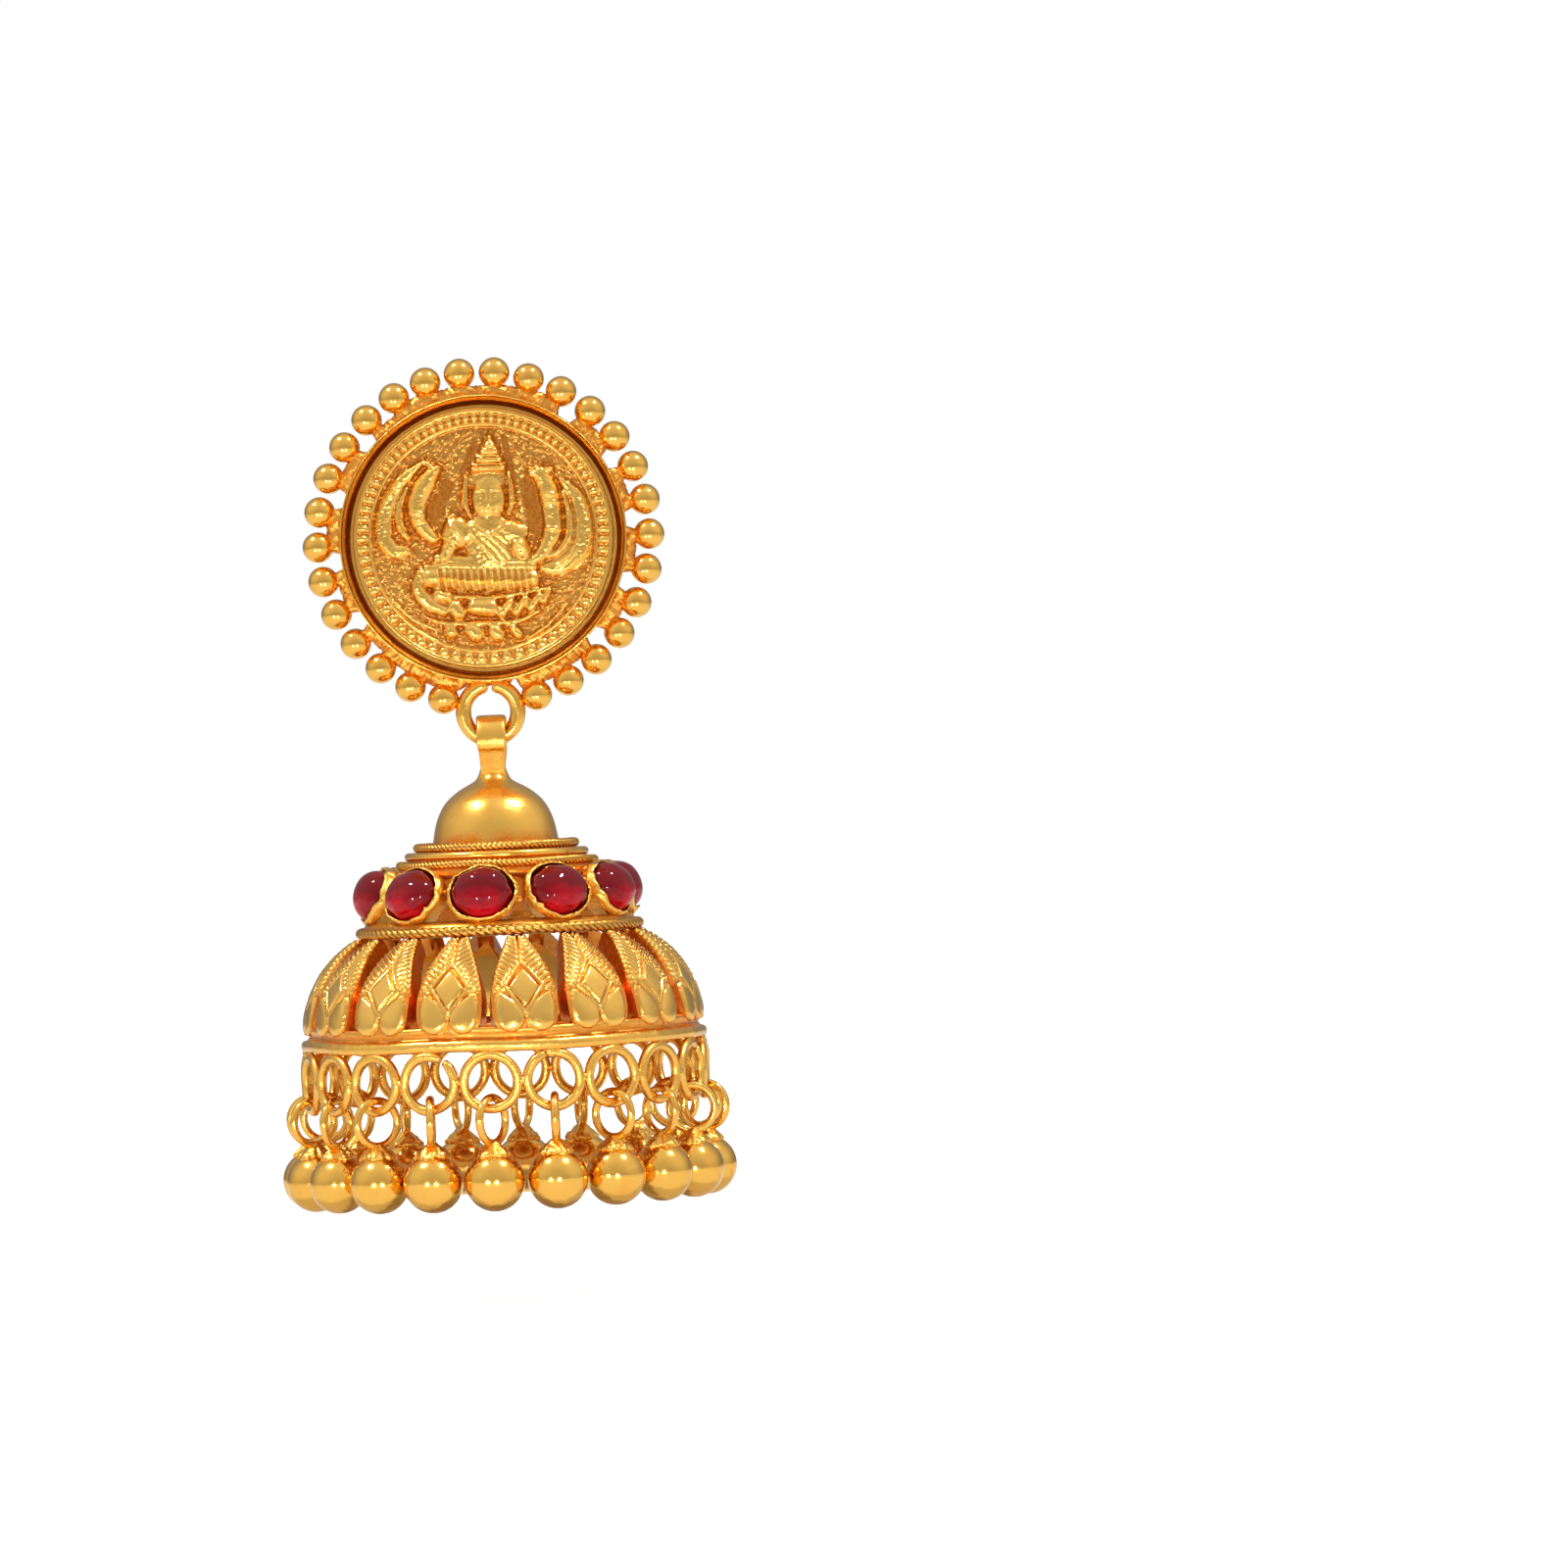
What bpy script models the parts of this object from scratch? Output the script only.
"""A gold jhumka earring: a coin stud with a halo of granules, and a pierced bell with a fringe of drops under it.

The origin is the middle of the stud's back face, which lies on the ear lobe. +X is to the right for someone who
looks at the front, -Y is to the front and +Z is up. Lengths are in millimetres, and MM turns them into metres.
"""

import math

import bmesh
import bpy
from mathutils import Matrix, Vector

MM = 0.001

# Clearances
SEAT_GAP = 0.06  # between a piece and what it sits in
HANG_GAP = 0.09  # between a drop's loop and the ring that it hangs on
BALL_GAP = 0.11  # between neighbouring balls of the fringe
BAIL_PLAY = 0.21  # between the bail's strap and the hanger ring, at each edge and under the strap
SOLDER = 0.06  # how far soldered pieces run into each other

# The coin and the frame round it
COIN_RADIUS = 5.84
COIN_THICKNESS = 0.5
COIN_RIM_WIDTH = 0.75  # the raised border round the coin's picture
COIN_RIM_HEIGHT = 0.16
FIGURE_HEIGHT = 0.4  # the highest relief, over the coin's field
BACK_PLATE = 0.4
GROOVE = 0.31  # open groove between the coin and its bezel
BEZEL_WALL = 0.26
BEZEL_HEIGHT = 1.5
SLIT_FROM_DEG = 17.0  # a slit through the back plate, where the coin's seat is not closed
SLIT_TO_DEG = 33.0

# The halo of granules
GRANULE_RADIUS = 0.69
GRANULE_COUNT = 28
GRANULE_STANDOFF = 0.31  # from the bezel to the nearest point of a granule
WEB_THICKNESS = 0.7
WEB_SHARE = 0.62  # how far the web reaches from the bezel to the middle of a granule
WEB_HOLE_SHARE = 0.36  # half width of a pierced hole, as a share of the granules' spacing
OPEN_WEB_GAPS = (3, 5, 7, 9, 11, 18, 20, 22, 24)  # pierced gaps, counted clockwise from the top

# The ring that is soldered under the stud
HANGER_RADIUS = 1.215  # of the wire's centre line
HANGER_WIRE = 0.345  # radius
HANGER_SPLIT_DEG = 12.0  # open joint at the top of the ring
HANGER_OVERLAP = 0.18  # how far the ring is let into the bezel

# The post through the ear
POST_RADIUS = 0.45
POST_LENGTH = 10.5
POST_FOOT_RADIUS = 1.5
POST_FOOT_THICKNESS = 0.35
POST_FOOT_CONE = 0.14  # height of the solder cone between the foot and the post

# The bail and the cap of the bell
BAIL_THICKNESS = 0.28
BAIL_FOOT_WIDTH = 1.08
BAIL_FOOT_DEPTH = 0.9  # front to back, where the strap meets the neck
NECK_DROP = 1.5  # from the swing axis to the top of the neck
CAP_RADIUS = 2.8
CAP_HEIGHT = 3.1
SHEET = 0.3  # thickness of the turned sheet
# Outside of the cap from the neck down: share of the cap's radius, share of its height
CAP_OUTLINE = (
    (0.19, 0.0),
    (0.31, 0.12),
    (0.57, 0.25),
    (0.79, 0.43),
    (0.93, 0.68),
    (1.0, 1.0),
)

# The three wires on the shoulder: a rope, a plain wire and a rope, each outside and below the last
SHOULDER_ROPE = 0.2  # section radius
SHOULDER_START = 0.7  # from the cap's side to the first wire's centre
SHOULDER_DROP = 0.15  # from the cap's foot down to the first wire's centre
SHOULDER_STEP_OUT = 0.405
SHOULDER_STEP_DOWN = 0.38
SHOULDER_WIRES = 3

# The collar of set stones
COLLAR_HEIGHT = 2.95
CUP_OVERLAP = 0.13  # how far a setting runs into the bands above and below it
STONE_COUNT = 10
STONE_PHASE_DEG = -5.5
STONE_HALF_WIDTH = 1.38
STONE_HALF_HEIGHT = 1.17
STONE_FACING_DEG = 24.0  # how far the stones look up
STONE_DOME = 1.0
STONE_DOME_DEG = 48.0  # where the dome's facets meet
STONE_BASE = 0.45  # depth of the stone below its girdle
STONE_TAPER = 0.86  # size of the stone's base, as a share of its girdle
STONE_STANDOFF = 0.35  # girdle above the collar's cone
CUP_WALL = 0.15
CUP_FLOOR = 0.44  # thickness under the stone
CUP_FLOOR_SHARE = 0.78  # floor size as a share of the mouth

# The dome of leaves
DOME_RADIUS = 9.0
DOME_BULGE = 5.0  # radial half axis of the dome's elliptic side
DOME_RISE = 4.84  # upright half axis
DOME_TOP_DEG = 62.0
DOME_ROPE = 0.235
DOME_ROPE_INSET = 0.17
DOME_ROPE_LIFT = 0.16
LEAF_COUNT = 16
LEAF_PHASE_DEG = 8.3
LEAF_GAP = 0.65  # between the broadest parts of two leaves
LEAF_DEPTH = 0.85
LEAF_SHEET = 0.28
# A leaf from its foot to its tip: share of the dome's arc, share of the half width
LEAF_OUTLINE = (
    (-0.02, 0.86),
    (0.3, 1.0),
    (0.72, 0.74),
    (1.04, 0.22),
)
# Faces that close a leaf's end, as corners of its section: left wall, front sheet, right wall
LEAF_END_FACES = ((0, 1, 9, 10), (1, 2, 9), (2, 3, 9), (3, 8, 9), (3, 4, 8), (4, 5, 8), (5, 6, 7, 8))
LEAF_BORDER_SHARE = 0.66  # where the raised border ends, as a share of the half width
LEAF_BORDER_FALL = 0.1  # how far the leaf's face drops inside its border
LEAF_KEEL = 0.16  # height of the diamond in the middle over that face

# The rim band, its ledge and the rings under it
RIM_OVERHANG = 0.09  # the band stands outside the leaves by this much
RIM_WIDTH = 0.6
RIM_HEIGHT = 0.54
RIM_DROP = 0.25  # from the leaves' feet to the top of the band
LEDGE_WIDTH = 0.5
LEDGE_HEIGHT = 0.55
FRINGE_COUNT = 20
FRINGE_PHASE_DEG = -2.5
RING_WIRE = 0.215
RING_JOIN = 0.015  # how far two neighbouring rings run into each other
RING_INSET = 0.24  # ring plane inside the band's face
RING_OVERLAP = 0.06

# The drops
LOOP_RADIUS = 1.0
LOOP_WIRE = 0.185
LOOP_LIFT = 0.33  # from the ball's top to the middle of the loop's wire
CROWN_RADIUS = 0.8
CROWN_THICKNESS = 0.1  # solder over the ball at the crown's edge
# How far each drop has turned on its ring, in degrees from the ring's own plane
DROP_TWISTS_DEG = (
    60, 75, -71, 79, -64, 72, -78, 66, 83, -60,
    74, -86, 63, 77, -70, 68, -76, -67, 70, -69,
)

# Facets
ROUND_STEPS = 24
CAP_STEPS = 20
COIN_STEPS = 30
WIRE_SIDES = 5
RING_STEPS = 10
HANGER_STEPS = 14
LOOP_STEPS = 10
BEAD_STEPS = 10
BALL_LATITUDES_DEG = (33, -3, -44)
STONE_STEPS = 10
GRANULE_RINGS = 4

# Places worked out from the sizes above
BEZEL_INNER = COIN_RADIUS + GROOVE
BEZEL_OUTER = BEZEL_INNER + BEZEL_WALL
HALO_RADIUS = BEZEL_OUTER + GRANULE_STANDOFF + GRANULE_RADIUS
WEB_RADIUS = BEZEL_OUTER + (HALO_RADIUS - BEZEL_OUTER) * WEB_SHARE
MID_DEPTH = BEZEL_HEIGHT / 2
HANGER_OUTER = HANGER_RADIUS + HANGER_WIRE
HANGER_DROP = BEZEL_OUTER + HANGER_OUTER - HANGER_OVERLAP
PIVOT_Z = -(HANGER_DROP + HANGER_RADIUS)
BAIL_WIDTH = 2 * (HANGER_RADIUS - HANGER_WIRE - BAIL_PLAY)
RING_RUN = math.sqrt(HANGER_RADIUS**2 - (BAIL_WIDTH / 2) ** 2)  # height of the ring's curve at the strap's edge
BAIL_INNER_RADIUS = HANGER_RADIUS - RING_RUN + HANGER_WIRE * HANGER_RADIUS / RING_RUN + BAIL_PLAY
NECK_Z = PIVOT_Z - NECK_DROP
CAP_BASE_Z = NECK_Z - CAP_HEIGHT
FIRST_WIRE = (CAP_RADIUS + SHOULDER_START, CAP_BASE_Z - SHOULDER_DROP)
LAST_WIRE = (
    FIRST_WIRE[0] + (SHOULDER_WIRES - 1) * SHOULDER_STEP_OUT,
    FIRST_WIRE[1] - (SHOULDER_WIRES - 1) * SHOULDER_STEP_DOWN,
)
CUP_MOUTH = STONE_HALF_HEIGHT + SEAT_GAP
CUP_SEAT_Z = -STONE_BASE - SEAT_GAP
DOME_AXIS_R = DOME_RADIUS - DOME_BULGE
DOME_TOP = math.radians(DOME_TOP_DEG)
DOME_ROPE_R = DOME_AXIS_R + DOME_BULGE * math.cos(DOME_TOP) - DOME_ROPE_INSET
DOME_ROPE_Z = LAST_WIRE[1] - COLLAR_HEIGHT
DOME_FOOT_Z = DOME_ROPE_Z - DOME_ROPE_LIFT - DOME_RISE * math.sin(DOME_TOP)
LEAF_HALF_WIDTH = math.pi * DOME_RADIUS / LEAF_COUNT - LEAF_GAP / 2
RIM_OUTER = DOME_RADIUS + RIM_OVERHANG
RIM_TOP_Z = DOME_FOOT_Z - RIM_DROP
RIM_BOTTOM_Z = RIM_TOP_Z - RIM_HEIGHT
FRINGE_R = RIM_OUTER - RING_INSET
HALF_PITCH = FRINGE_R * math.sin(math.pi / FRINGE_COUNT)
RING_RADIUS = HALF_PITCH + RING_JOIN - RING_WIRE
RING_Z = RIM_BOTTOM_Z + RING_OVERLAP - RING_RADIUS - RING_WIRE
LOOP_Z = RING_Z - RING_RADIUS + RING_WIRE + HANG_GAP - LOOP_RADIUS + LOOP_WIRE
BALL_RADIUS = HALF_PITCH - BALL_GAP / 2
BALL_DROP = LOOP_RADIUS + LOOP_LIFT + BALL_RADIUS

# The raised picture on the coin, a seated figure on a lotus, as flat forms with sloping sides. Each has a name, the
# share of the figure's height that it stands, and its outline in shares of the picture's radius, going round.
FIGURE_FORMS = (
    ("lotus_foot", 0.45, ((-0.42, -0.6), (-0.36, -0.8), (0.0, -0.9), (0.32, -0.8), (0.4, -0.6))),
    ("lotus_petals", 0.6, ((-0.48, -0.4), (-0.36, -0.6), (0.06, -0.68), (0.5, -0.58), (0.6, -0.38))),
    ("crossed_legs", 0.85, ((-0.56, -0.16), (-0.5, -0.36), (0.0, -0.46), (0.46, -0.38), (0.5, -0.18), (0.0, -0.14))),
    ("body", 0.7, ((-0.2, 0.2), (-0.4, 0.1), (-0.34, -0.2), (0.36, -0.22), (0.42, 0.08), (0.24, 0.2))),
    ("lap_hand", 0.9, ((-0.26, 0.24), (-0.38, 0.14), (-0.32, -0.04), (-0.16, -0.04), (-0.12, 0.14))),
    ("head", 1.0, ((-0.08, 0.56), (-0.13, 0.34), (0.04, 0.1), (0.2, 0.34), (0.18, 0.56))),
    ("crown", 0.85, ((0.02, 0.93), (-0.16, 0.54), (0.26, 0.54), (0.1, 0.93))),
    ("left_arm", 0.75, ((-0.34, 0.68), (-0.56, 0.52), (-0.66, 0.32), (-0.52, 0.06), (-0.42, 0.08), (-0.4, 0.42))),
    ("right_arm", 0.75, ((0.52, 0.6), (0.46, 0.3), (0.5, 0.0), (0.42, -0.2), (0.66, -0.02), (0.7, 0.5))),
    ("left_drape", 0.4, ((-0.44, 0.72), (-0.74, 0.46), (-0.84, 0.1), (-0.7, -0.12), (-0.76, 0.2), (-0.66, 0.44))),
    ("right_drape", 0.4, ((0.74, 0.52), (0.76, 0.2), (0.68, -0.16), (0.84, 0.0), (0.88, 0.26))),
)
FORM_SLOPE = 0.03  # how much a form's top is drawn in, as a share of the picture's radius


def material(name, colour, roughness, metallic):
    """A plain Principled material."""
    made = bpy.data.materials.new(name)
    made.use_nodes = True
    shader = made.node_tree.nodes["Principled BSDF"]
    shader.inputs["Base Color"].default_value = (*colour, 1.0)
    shader.inputs["Roughness"].default_value = roughness
    shader.inputs["Metallic"].default_value = metallic
    return made


def tidy(bm):
    """Merges doubled points, drops empty faces and turns every face outwards."""
    bmesh.ops.remove_doubles(bm, verts=bm.verts, dist=1e-4 * MM)
    bmesh.ops.recalc_face_normals(bm, faces=bm.faces)
    return bm


def mesh_of(bm, name, matrix=None):
    """Ends a bmesh as a mesh, moved by matrix, whose lengths are metres."""
    tidy(bm)
    if matrix is not None:
        bmesh.ops.transform(bm, matrix=matrix, verts=bm.verts)
    made = bpy.data.meshes.new(name)
    bm.to_mesh(made)
    bm.free()
    return made


def turned(outline, steps, closed=False, wide=1.0):
    """A solid turned round Z from (radius, height) points, with a corner at +Y. An open outline starts and ends on
    the axis, and a closed one goes round a ring's section. wide stretches it along X, for an oval."""
    bm = bmesh.new()
    points = [bm.verts.new((0, radius * MM, height * MM)) for radius, height in outline]
    pairs = list(zip(points, points[1:]))
    if closed:
        pairs.append((points[-1], points[0]))
    edges = [bm.edges.new(pair) for pair in pairs]
    bmesh.ops.spin(bm, geom=points + edges, axis=(0, 0, 1), angle=math.tau, steps=steps, use_merge=True)
    tidy(bm)
    bmesh.ops.scale(bm, vec=(wide, 1, 1), verts=bm.verts)
    return bm


def section(centre, radius, sides, from_deg=0.0, to_deg=360.0):
    """Points of a round section, from one angle to the other."""
    whole = to_deg - from_deg >= 360.0
    count = sides if whole else sides + 1
    turns = [math.radians(from_deg + (to_deg - from_deg) * i / sides) for i in range(count)]
    return [(centre[0] + radius * math.cos(a), centre[1] + radius * math.sin(a)) for a in turns]


def wire_ring(radius, wire, steps):
    """A closed ring of round wire, whose axis is Z."""
    return turned(section((radius, 0), wire, WIRE_SIDES), steps, closed=True)


def split_ring(radius, wire, steps, split_deg):
    """A ring of round wire that is open at +Y, with its ends filled. Its axis is Z."""
    bm = bmesh.new()
    points = [bm.verts.new((x * MM, 0, z * MM)) for x, z in section((radius, 0), wire, WIRE_SIDES + 1)]
    edges = [bm.edges.new(pair) for pair in zip(points, points[1:] + points[:1])]
    start = Matrix.Rotation(math.radians(90 + split_deg / 2), 4, "Z")
    bmesh.ops.transform(bm, matrix=start, verts=points)
    angle = math.radians(360 - split_deg)
    bmesh.ops.spin(bm, geom=points + edges, axis=(0, 0, 1), angle=angle, steps=steps)
    bmesh.ops.holes_fill(bm, edges=[edge for edge in bm.edges if edge.is_boundary])
    return bm


def granule(centre):
    """A grain of the halo."""
    bm = bmesh.new()
    place = Matrix.Translation(Vector(centre) * MM)
    bmesh.ops.create_uvsphere(
        bm, u_segments=BEAD_STEPS, v_segments=GRANULE_RINGS, radius=GRANULE_RADIUS * MM, matrix=place
    )
    return bm


def prism(outline, low, high, top_outline=None):
    """A solid between two outlines of (x, y) points at heights low and high."""
    bm = bmesh.new()
    bottom = [bm.verts.new((x * MM, y * MM, low * MM)) for x, y in outline]
    top = [bm.verts.new((x * MM, y * MM, high * MM)) for x, y in (top_outline or outline)]
    bm.faces.new(bottom)
    bm.faces.new(top)
    for i in range(len(bottom)):
        j = (i + 1) % len(bottom)
        bm.faces.new((bottom[i], bottom[j], top[j], top[i]))
    return bm


def helper(bm, name, matrix=None):
    """A hidden object that a Boolean reads."""
    made = bpy.data.objects.new(name, mesh_of(bm, name, matrix))
    bpy.context.scene.collection.objects.link(made)
    made.hide_render = True
    made.display_type = "WIRE"
    return made


def joined(name, first, others, cutters=()):
    """The mesh of first with the others soldered on and the cutters taken out. The helpers are removed."""
    steps = [("UNION", list(others)), ("DIFFERENCE", list(cutters))]
    groups = []
    for operation, members in steps:
        if not members:
            continue
        group = bpy.data.collections.new(f"{name}_{operation}")
        for member in members:
            group.objects.link(member)
        modifier = first.modifiers.new(operation, "BOOLEAN")
        modifier.operation = operation
        modifier.operand_type = "COLLECTION"
        modifier.collection = group
        modifier.solver = "EXACT"
        groups.append(group)
    bpy.context.view_layer.update()
    graph = bpy.context.evaluated_depsgraph_get()
    made = bpy.data.meshes.new_from_object(first.evaluated_get(graph))
    made.name = name
    for group in groups:
        bpy.data.collections.remove(group)
    for member in [first, *others, *cutters]:
        bpy.data.objects.remove(member)
    return made


def node(name, mesh, finish, parent=None, location=(0, 0, 0), turn=0.0):
    """A named piece of the earring, placed in the frame of its parent."""
    made = bpy.data.objects.new(name, mesh)
    bpy.context.scene.collection.objects.link(made)
    if not mesh.materials:
        mesh.materials.append(finish)
    made.parent = parent
    made.location = Vector(location) * MM
    made.rotation_euler = (0, 0, turn)
    mesh.shade_smooth()
    mesh.set_sharp_from_angle(angle=math.radians(40))
    return made


def around(azimuth_deg, radius, height, elevation_deg=0.0):
    """Carries a piece made round Z out to a place on the bell, with its Z axis pointing outwards and up by the
    elevation, and its Y axis up. Azimuth 0 is the front."""
    lean = Matrix.Rotation(math.radians(90 - elevation_deg), 4, "X")
    out = Matrix.Translation((0, -radius * MM, height * MM))
    return Matrix.Rotation(math.radians(azimuth_deg), 4, "Z") @ out @ lean


# The face of the stud looks along -Y. Stud pieces are made flat, with Z as their height over the back face, and
# this stands them up: X stays, Y becomes up and Z becomes the front.
STAND_UP = Matrix.Rotation(math.radians(90), 4, "X")


def on_circle(radius, clockwise_deg):
    """A point of a circle, with the angle counted clockwise from the top."""
    angle = math.radians(clockwise_deg)
    return radius * math.sin(angle), radius * math.cos(angle)


def end_granule_deg():
    """Angle from straight down at which the last granule touches the hanger ring."""
    reach = HANGER_OUTER + GRANULE_RADIUS - SOLDER
    cosine = (HALO_RADIUS**2 + HANGER_DROP**2 - reach**2) / (2 * HALO_RADIUS * HANGER_DROP)
    return math.degrees(math.acos(cosine))


def granule_angles():
    """Clockwise angles of the granules, starting with the one nearest the top."""
    opening = 2 * end_granule_deg()
    step = (360 - opening) / (GRANULE_COUNT - 1)
    first = 180 + opening / 2
    angles = sorted((first + i * step) % 360 for i in range(GRANULE_COUNT))
    return angles, step


def arc_cutter(inner, outer, from_deg, to_deg, low, high):
    """A curved slot's cutter."""
    count = 4
    turns = [from_deg + (to_deg - from_deg) * i / count for i in range(count + 1)]
    outline = [on_circle(outer, turn) for turn in turns] + [on_circle(inner, turn) for turn in reversed(turns)]
    return prism(outline, low, high)


def stud_frame():
    """Back plate, bezel, granules and hanger ring, which are soldered into one."""
    plate_and_bezel = [
        (0, 0),
        (BEZEL_OUTER, 0),
        (BEZEL_OUTER, MID_DEPTH - WEB_THICKNESS / 2),
        (WEB_RADIUS, MID_DEPTH - WEB_THICKNESS / 8),
        (BEZEL_OUTER, MID_DEPTH + WEB_THICKNESS / 2),
        (BEZEL_OUTER, BEZEL_HEIGHT),
        (BEZEL_INNER, BEZEL_HEIGHT),
        (BEZEL_INNER, BACK_PLATE),
        (0, BACK_PLATE),
    ]
    base = helper(turned(plate_and_bezel, COIN_STEPS), "bezel")
    angles, step = granule_angles()
    pieces = []
    for angle in angles:
        pieces.append(helper(granule((*on_circle(HALO_RADIUS, angle), MID_DEPTH)), "granule"))
    sink = Matrix.Translation((0, -HANGER_DROP * MM, MID_DEPTH * MM))
    ring = split_ring(HANGER_RADIUS, HANGER_WIRE, HANGER_STEPS, HANGER_SPLIT_DEG)
    pieces.append(helper(ring, "hanger_ring", sink))
    slit = arc_cutter(
        COIN_RADIUS, BEZEL_INNER - SOLDER, SLIT_FROM_DEG, SLIT_TO_DEG, -BACK_PLATE, BACK_PLATE * 2
    )
    return joined("stud_frame", base, pieces, [helper(slit, "slit"), *web_cutters(angles, step)])


def web_cutters(angles, step):
    """The three-sided holes between two granules and the bezel, and the hole inside the hanger ring."""
    cutters = []
    inner = BEZEL_OUTER + SOLDER
    outer = HALO_RADIUS
    spread = step * WEB_HOLE_SHARE
    for gap in OPEN_WEB_GAPS:
        middle = angles[(gap - 1) % GRANULE_COUNT] + step / 2
        outline = [on_circle(inner, middle - spread), on_circle(outer, middle), on_circle(inner, middle + spread)]
        cutters.append(helper(prism(outline, 0, BEZEL_HEIGHT), "web_hole"))
    inside = HANGER_RADIUS - HANGER_WIRE
    hole = turned([(0, 0), (inside, 0), (inside, BEZEL_HEIGHT), (0, BEZEL_HEIGHT)], RING_STEPS)
    cutters.append(helper(hole, "ring_hole", Matrix.Translation((0, -HANGER_DROP * MM, 0))))
    return cutters


def coin():
    """The struck coin: a disc with a raised border and a raised seated figure."""
    low = BACK_PLATE + SEAT_GAP
    field = low + COIN_THICKNESS
    picture = COIN_RADIUS - COIN_RIM_WIDTH
    disc = [
        (0, low),
        (COIN_RADIUS, low),
        (COIN_RADIUS, field + COIN_RIM_HEIGHT),
        (picture, field + COIN_RIM_HEIGHT),
        (picture, field),
        (0, field),
    ]
    forms = []
    for name, share, outline in FIGURE_FORMS:
        foot = [Vector(point) * picture for point in outline]
        middle = sum(foot, Vector((0, 0))) / len(foot)
        top = [point + (middle - point).normalized() * FORM_SLOPE * picture for point in foot]
        forms.append(helper(prism(foot, field - SOLDER, field + share * FIGURE_HEIGHT, top), name))
    return joined("coin", helper(turned(disc, COIN_STEPS), "disc"), forms)


def ear_post():
    """A plain post on a foot, soldered to the middle of the back plate. It points backwards."""
    outline = [
        (0, -SEAT_GAP),
        (POST_FOOT_RADIUS, -SEAT_GAP),
        (POST_FOOT_RADIUS, -SEAT_GAP - POST_FOOT_THICKNESS),
        (POST_RADIUS, -SEAT_GAP - POST_FOOT_THICKNESS - POST_FOOT_CONE),
        (POST_RADIUS, -POST_LENGTH),
        (0, -POST_LENGTH),
    ]
    return mesh_of(turned(outline, RING_STEPS), "ear_post")


def cap_and_shoulder():
    """The turned cap with the shoulder under it, as one shell that is open below."""
    outer = [(share_r * CAP_RADIUS, NECK_Z - share_z * CAP_HEIGHT) for share_r, share_z in CAP_OUTLINE]
    wires = []
    for i in range(SHOULDER_WIRES):
        centre = (FIRST_WIRE[0] + i * SHOULDER_STEP_OUT, FIRST_WIRE[1] - i * SHOULDER_STEP_DOWN)
        wires += section(centre, SHOULDER_ROPE, 2, 135, -45)
    lip_in, lip_out = collar_lip(LAST_WIRE, 1)
    inner = [(r - SHEET, z) for r, z in reversed(outer) if r - SHEET > CAP_RADIUS * 0.5]
    crown = (0, NECK_Z - CAP_HEIGHT * CAP_OUTLINE[2][1] - SHEET)
    return [(0, NECK_Z), *outer, *wires, lip_out, lip_in, (CAP_RADIUS, CAP_BASE_Z - SHEET * 2), *inner, crown]


def collar_lean():
    """Radius and height that the collar's cone gains from the last shoulder wire to the dome's rope, and its
    length."""
    out, down = DOME_ROPE_R - LAST_WIRE[0], DOME_ROPE_Z - LAST_WIRE[1]
    return out, down, math.hypot(out, down)


def collar_lip(start, way):
    """Inner and outer corner of the free edge of a band that reaches to the settings along the collar's cone, down
    for way 1 and up for -1."""
    out, down, length = collar_lean()
    reach = max(length / 2 - CUP_MOUTH - CUP_WALL + CUP_OVERLAP, SHEET)
    along = (out / length * way, down / length * way)
    across = (-down / length * SHEET / 2, out / length * SHEET / 2)
    end = (start[0] + along[0] * reach, start[1] + along[1] * reach)
    return (end[0] - across[0], end[1] - across[1]), (end[0] + across[0], end[1] + across[1])


def dome_rope():
    """The rope over the leaves, with the band above it that holds the settings."""
    lip_in, lip_out = collar_lip((DOME_ROPE_R, DOME_ROPE_Z), -1)
    rope = section((DOME_ROPE_R, DOME_ROPE_Z), DOME_ROPE, 3, -160, 20)
    return [lip_in, *rope, lip_out]


def setting_place():
    """Radius, height and elevation of a stone's girdle."""
    out, down, _ = collar_lean()
    across = math.atan2(out, -down)
    radius = LAST_WIRE[0] + out / 2 + STONE_STANDOFF * math.cos(across)
    return radius, LAST_WIRE[1] + down / 2 + STONE_STANDOFF * math.sin(across), STONE_FACING_DEG


def setting_cup():
    """An oval cup for a stone, open at the top. Its mouth is at height 0."""
    outer = CUP_MOUTH + CUP_WALL
    outline = [
        (0, CUP_SEAT_Z - CUP_FLOOR),
        (outer * CUP_FLOOR_SHARE, CUP_SEAT_Z - CUP_FLOOR),
        (outer, 0),
        (CUP_MOUTH, 0),
        (STONE_HALF_HEIGHT * STONE_TAPER + SEAT_GAP, CUP_SEAT_Z),
        (0, CUP_SEAT_Z),
    ]
    return turned(outline, STONE_STEPS, wide=STONE_HALF_WIDTH / STONE_HALF_HEIGHT)


def ruby():
    """An oval cabochon: a low dome on a flat base. Its girdle is at height 0."""
    size = STONE_HALF_HEIGHT
    dome = [(size * math.cos(turn), STONE_DOME * math.sin(turn)) for turn in (0, math.radians(STONE_DOME_DEG))]
    outline = [(0, -STONE_BASE), (size * STONE_TAPER, -STONE_BASE), *dome, (0, STONE_DOME)]
    return turned(outline, STONE_STEPS, wide=STONE_HALF_WIDTH / STONE_HALF_HEIGHT)


def dome_point(share, depth):
    """Radius and height on the dome's side, at a share of its arc from foot to top, and a depth under it."""
    turn = share * DOME_TOP
    normal = Vector((math.cos(turn) / DOME_BULGE, math.sin(turn) / DOME_RISE)).normalized()
    radius = DOME_AXIS_R + DOME_BULGE * math.cos(turn) - normal.x * depth
    return radius, DOME_FOOT_Z + DOME_RISE * math.sin(turn) - normal.y * depth


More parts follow.
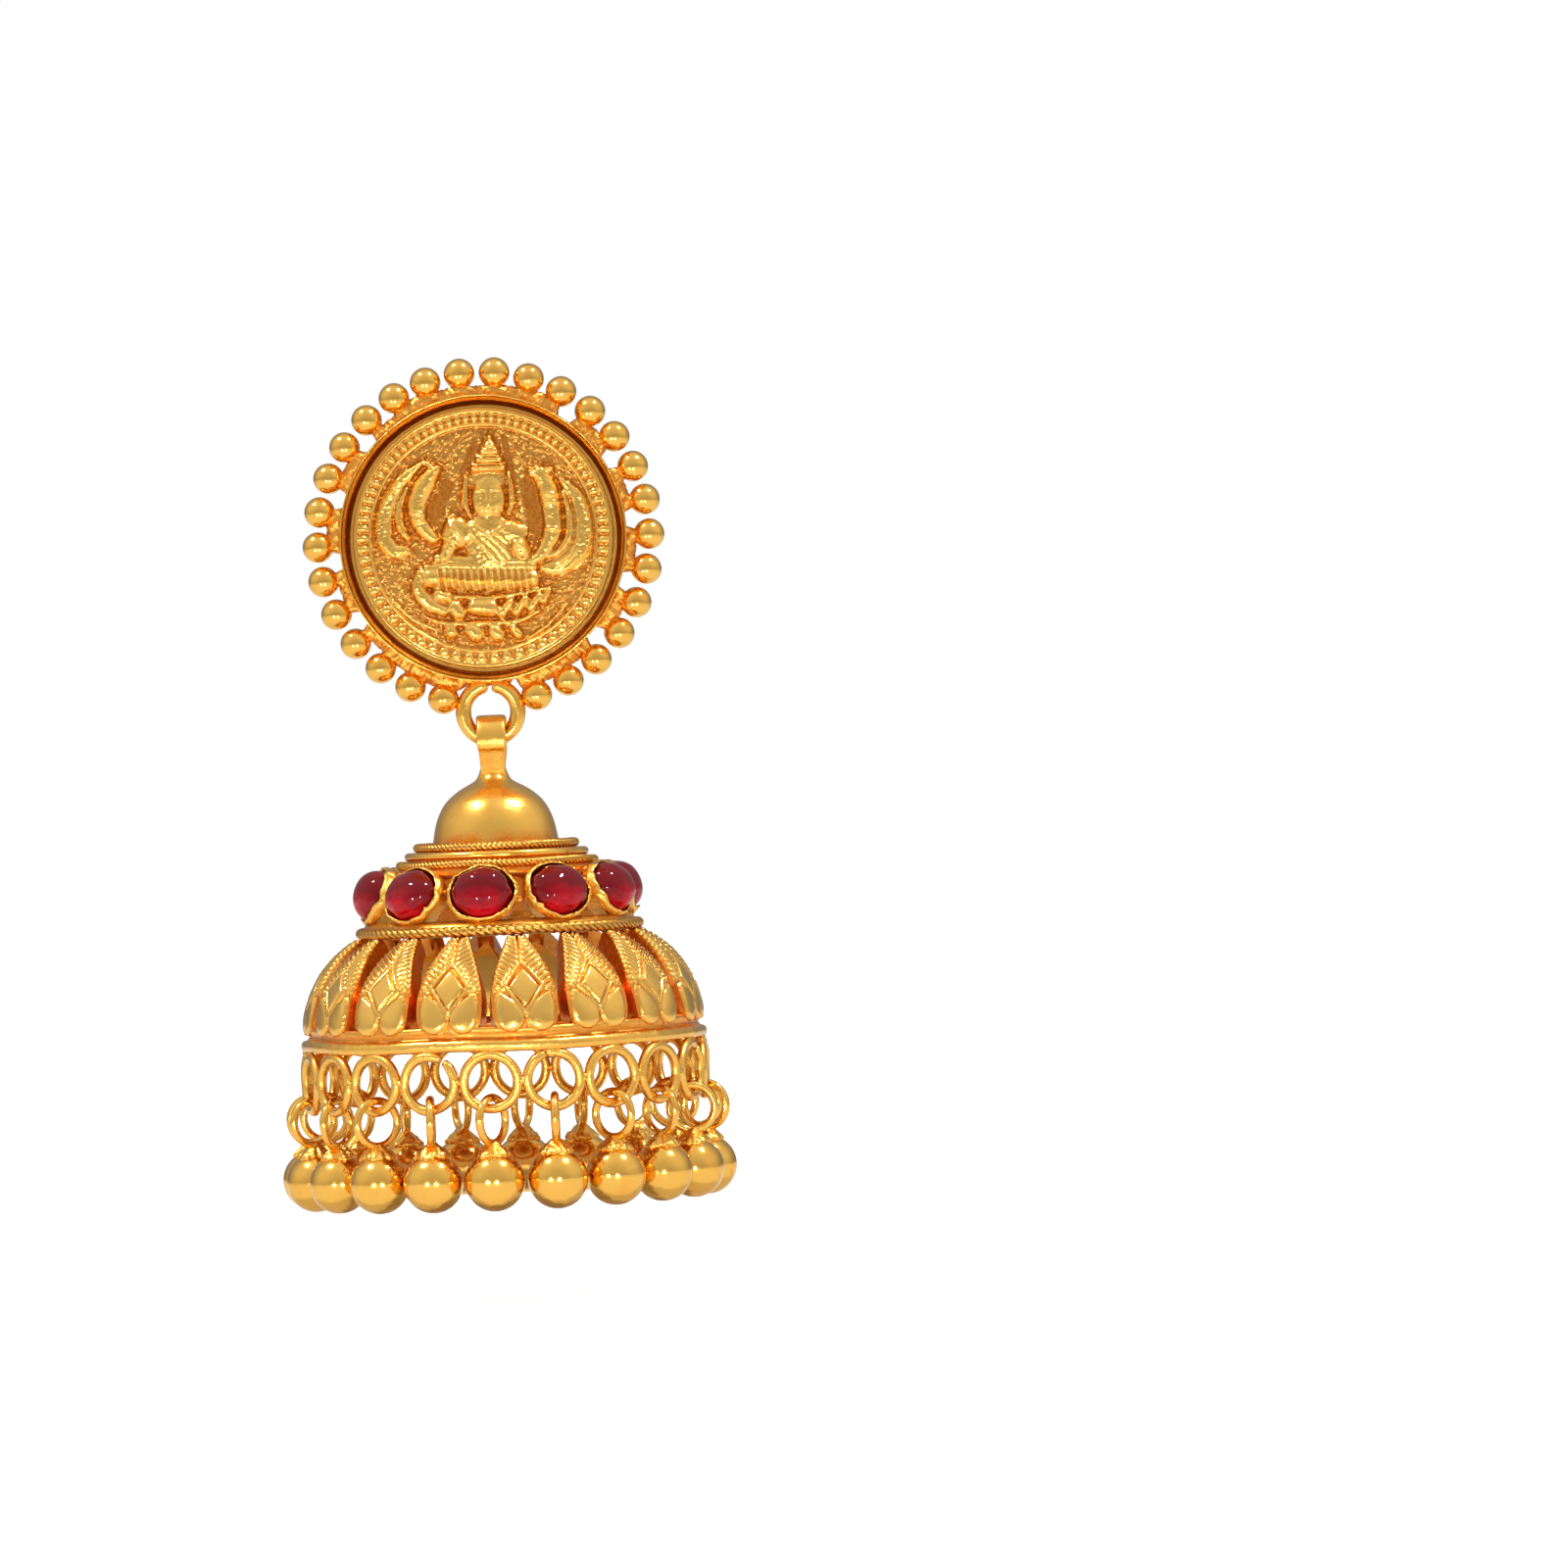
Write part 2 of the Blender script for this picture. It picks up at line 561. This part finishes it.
def leaf():
    """A leaf of the dome: a shallow pan with its sides turned in, a raised border and a raised middle. It faces the
    front."""
    bm = bmesh.new()
    rows = []
    for share, width_share in LEAF_OUTLINE:
        half = LEAF_HALF_WIDTH * width_share
        inside = max(half - LEAF_SHEET, LEAF_SHEET * 0.3)
        border = half * LEAF_BORDER_SHARE
        section_points = [
            (-half, LEAF_DEPTH),
            (-half, 0.0),
            (-border, LEAF_BORDER_FALL),
            (0.0, LEAF_BORDER_FALL - LEAF_KEEL),
            (border, LEAF_BORDER_FALL),
            (half, 0.0),
            (half, LEAF_DEPTH),
            (inside, LEAF_DEPTH),
            (inside, LEAF_SHEET),
            (-inside, LEAF_SHEET),
            (-inside, LEAF_DEPTH),
        ]
        row = []
        for across, depth in section_points:
            radius, height = dome_point(share, depth)
            turn = across / radius
            row.append(bm.verts.new((radius * math.sin(turn) * MM, -radius * math.cos(turn) * MM, height * MM)))
        rows.append(row)
    for low, high in zip(rows, rows[1:]):
        for i in range(len(low)):
            j = (i + 1) % len(low)
            bm.faces.new((low[i], low[j], high[j], high[i]))
    for row in (rows[0], rows[-1]):
        for corners in LEAF_END_FACES:
            bm.faces.new([row[i] for i in corners])
    return bm


def rim_outline():
    """Section of the rim band, with the ledge that the leaves stand on."""
    inner = RIM_OUTER - RIM_WIDTH
    ledge = dome_point(0, LEAF_SHEET / 2)[0]
    return [
        (inner, RIM_BOTTOM_Z),
        (RIM_OUTER, RIM_BOTTOM_Z),
        (RIM_OUTER, RIM_TOP_Z),
        (ledge, RIM_TOP_Z),
        (ledge, RIM_TOP_Z + LEDGE_HEIGHT),
        (ledge - LEDGE_WIDTH, RIM_TOP_Z + LEDGE_HEIGHT),
    ]


def bail():
    """The strap that passes through the hanger ring and runs down into the neck. Its hole's axis is X."""
    bm = bmesh.new()
    foot_z = -NECK_DROP - SHEET
    foot = BAIL_FOOT_DEPTH / 2
    bend = [math.radians(turn) for turn in (200, 160, 125, 90, 55, 20, -20)]

    def loop(radius, foot_half):
        points = [(radius * math.cos(turn), radius * math.sin(turn)) for turn in bend]
        return [(-foot_half, foot_z), *points, (foot_half, foot_z)]

    outer = loop(BAIL_INNER_RADIUS + BAIL_THICKNESS, foot)
    inner = loop(BAIL_INNER_RADIUS, SHEET / 3)
    rows = []
    for side in (-1, 1):
        for path in (outer, inner):
            row = []
            for depth, height in path:
                share = min(max(-height / NECK_DROP, 0.0), 1.0)
                half = (BAIL_WIDTH + (BAIL_FOOT_WIDTH - BAIL_WIDTH) * share) / 2
                row.append(bm.verts.new((side * half * MM, depth * MM, height * MM)))
            rows.append(row)
    left_out, left_in, right_out, right_in = rows
    for i in range(len(outer) - 1):
        for a, b in ((left_out, left_in), (left_in, right_in), (right_in, right_out), (right_out, left_out)):
            bm.faces.new((a[i], a[i + 1], b[i + 1], b[i]))
    for i in (0, -1):
        bm.faces.new((left_out[i], left_in[i], right_in[i], right_out[i]))
    bmesh.ops.transform(bm, matrix=Matrix.Translation((0, 0, PIVOT_Z * MM)), verts=bm.verts)
    return bm


def bell():
    """Bail, cap, shoulder, settings, leaves, rim and rings, which are soldered into one."""
    base = helper(turned(cap_and_shoulder(), CAP_STEPS), "cap")
    pieces = [
        helper(bail(), "bail"),
        helper(turned(dome_rope(), ROUND_STEPS, closed=True), "dome_rope"),
        helper(turned(rim_outline(), ROUND_STEPS, closed=True), "rim"),
    ]
    for i in range(STONE_COUNT):
        pieces.append(helper(setting_cup(), "cup", around(stone_azimuth(i), *setting_place())))
    for i in range(LEAF_COUNT):
        turn = math.radians(LEAF_PHASE_DEG + i * 360 / LEAF_COUNT)
        pieces.append(helper(leaf(), "leaf", Matrix.Rotation(turn, 4, "Z")))
    for i in range(FRINGE_COUNT):
        ring = wire_ring(RING_RADIUS, RING_WIRE, RING_STEPS)
        pieces.append(helper(ring, "ring", around(fringe_azimuth(i), FRINGE_R, RING_Z)))
    return joined("jhumka_bell", base, pieces)


def stone_azimuth(i):
    """Azimuth of a stone, in degrees from the front."""
    return STONE_PHASE_DEG + i * 360 / STONE_COUNT


def fringe_azimuth(i):
    """Azimuth of a ring and its drop, in degrees from the front."""
    return FRINGE_PHASE_DEG + i * 360 / FRINGE_COUNT


def drop():
    """A drop with the centre of its loop at the origin: a loop, a small crown of solder and a ball."""
    stand = Matrix.Rotation(math.radians(90), 4, "X")
    loop = helper(wire_ring(LOOP_RADIUS, LOOP_WIRE, LOOP_STEPS), "loop", stand)
    crown_foot = math.sqrt(BALL_RADIUS**2 - CROWN_RADIUS**2) + CROWN_THICKNESS - BALL_DROP
    shoulder = [(0, -LOOP_RADIUS + SOLDER), (CROWN_RADIUS, crown_foot)]
    turns = [math.radians(latitude) for latitude in BALL_LATITUDES_DEG]
    side = [(BALL_RADIUS * math.cos(turn), BALL_RADIUS * math.sin(turn) - BALL_DROP) for turn in turns]
    outline = [*shoulder, *side, (0, -BALL_RADIUS - BALL_DROP)]
    return joined("drop", loop, [helper(turned(outline, BEAD_STEPS), "ball")])


def flat_mesh(mesh):
    """Stands a stud piece up, so that its front looks along -Y."""
    mesh.transform(STAND_UP)
    return mesh


def build():
    """Clears the scene and makes every piece."""
    for old in list(bpy.data.objects):
        bpy.data.objects.remove(old)
    gold = material("gold", (0.83, 0.53, 0.16), 0.25, 1.0)
    red = material("ruby", (0.42, 0.01, 0.04), 0.08, 0.0)

    node("stud_frame", flat_mesh(stud_frame()), gold)
    node("coin", flat_mesh(coin()), gold)
    node("ear_post", flat_mesh(ear_post()), gold)

    swing = bpy.data.objects.new("bell_swing", None)
    bpy.context.scene.collection.objects.link(swing)
    swing.location = (0, -MID_DEPTH * MM, PIVOT_Z * MM)
    hung = bell()
    hung.transform(Matrix.Translation((0, 0, -PIVOT_Z * MM)))
    node("jhumka_bell", hung, gold, swing)

    stone = mesh_of(ruby(), "ruby")
    radius, height, elevation = setting_place()
    for i in range(STONE_COUNT):
        place = around(stone_azimuth(i), radius, height - PIVOT_Z, elevation)
        made = node(f"ruby_{i + 1:02d}", stone, red, swing)
        made.matrix_basis = place
    hanging = drop()
    for i in range(FRINGE_COUNT):
        azimuth = math.radians(fringe_azimuth(i))
        spot = (FRINGE_R * math.sin(azimuth), -FRINGE_R * math.cos(azimuth), LOOP_Z - PIVOT_Z)
        turn = azimuth + math.radians(DROP_TWISTS_DEG[i % len(DROP_TWISTS_DEG)])
        node(f"drop_{i + 1:02d}", hanging, gold, swing, spot, turn)


build()
